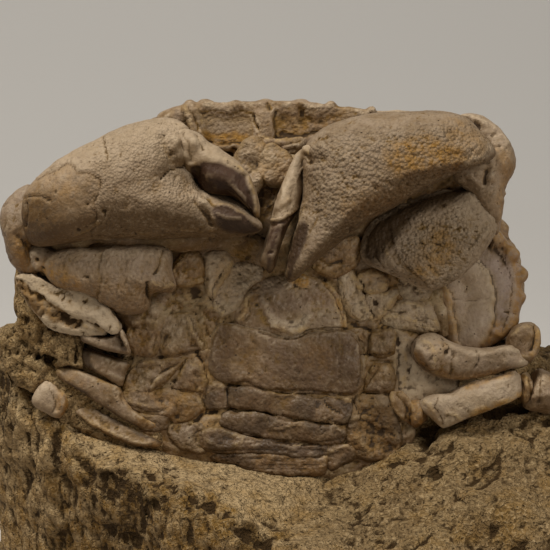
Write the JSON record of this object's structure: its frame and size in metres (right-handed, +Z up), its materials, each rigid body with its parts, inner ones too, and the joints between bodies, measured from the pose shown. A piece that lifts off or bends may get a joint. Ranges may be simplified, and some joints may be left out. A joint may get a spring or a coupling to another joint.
{
  "type": "fossil crab on matrix",
  "caption": "Fossil crab preserved belly outwards, claws folded over its front and legs at its sides, leaning back in a loose block of limestone matrix that rests on a flat underside.",
  "frame": {"origin": "centre of the block's flat underside, below the middle of the crab", "axes": "+Z up, -Y towards the side that the crab's belly faces, +X to the right as seen from there"},
  "size_m": [0.1403, 0.1055, 0.1178],
  "materials": {
    "rock": "rough fine-grained limestone matrix, matt",
    "crust": "pale rough limestone crust on a leg, matt",
    "shell": "fossil shell of the carapace, wrists and legs, matt with a faint sheen",
    "palm": "pale fossil shell of the claws' palms, finely granular",
    "finger": "dark brown fossil enamel of the fingers, low sheen",
    "plate": "brown fossil shell of the breast and leg-base plates, matt",
    "tail": "purplish brown fossil shell of the folded tail, matt"
  },
  "bodies": {
    "root": {"matrix_block": "rock", "right_claw_finger": "finger", "right_claw_palm": "palm", "left_claw_finger": "finger", "left_claw_palm": "palm", "left_claw_wrist": "shell", "left_claw_arm": "shell", "right_claw_wrist": "shell", "right_claw_arm": "shell", "left_leg_1_crust": "crust", "left_leg_1": "shell", "left_leg_2": "shell", "left_leg_3": "shell", "left_leg_stub": "shell", "left_leg_4": "shell", "right_leg_1_arm": "shell", "right_leg_1_end": "plate", "right_leg_2_base": "plate", "right_leg_2_joint": "plate", "right_leg_2_arm": "shell", "right_leg_2_end": "shell", "telson": "tail", "abdomen_segment_6": "tail", "abdomen_segment_5": "tail", "abdomen_segment_4": "tail", "abdomen_segment_3": "tail", "abdomen_segment_2": "tail", "abdomen_segment_1": "tail", "left_mouthpart": "plate", "right_mouthpart": "plate", "left_claw_base": "plate", "left_claw_hip": "plate", "left_breast_plate_1": "plate", "left_breast_plate_2": "plate", "left_leg_1_hip": "plate", "left_leg_1_base": "plate", "left_leg_2_base": "plate", "left_leg_3_base": "plate", "left_leg_4_base": "plate", "left_leg_4_hip": "plate", "left_breast_plate_3": "plate", "left_breast_plate_4": "plate", "left_breast_plate_5": "plate", "right_claw_base": "plate", "right_claw_hip": "plate", "right_breast_plate_1": "plate", "right_breast_plate_2": "plate", "right_leg_1_base": "plate", "right_leg_1_hip": "plate", "right_breast_plate_3": "plate", "right_breast_plate_4": "plate", "right_leg_2_hip": "plate", "right_leg_3_base": "plate", "underside": "plate", "carapace": "shell"}
  },
  "joints": []
}
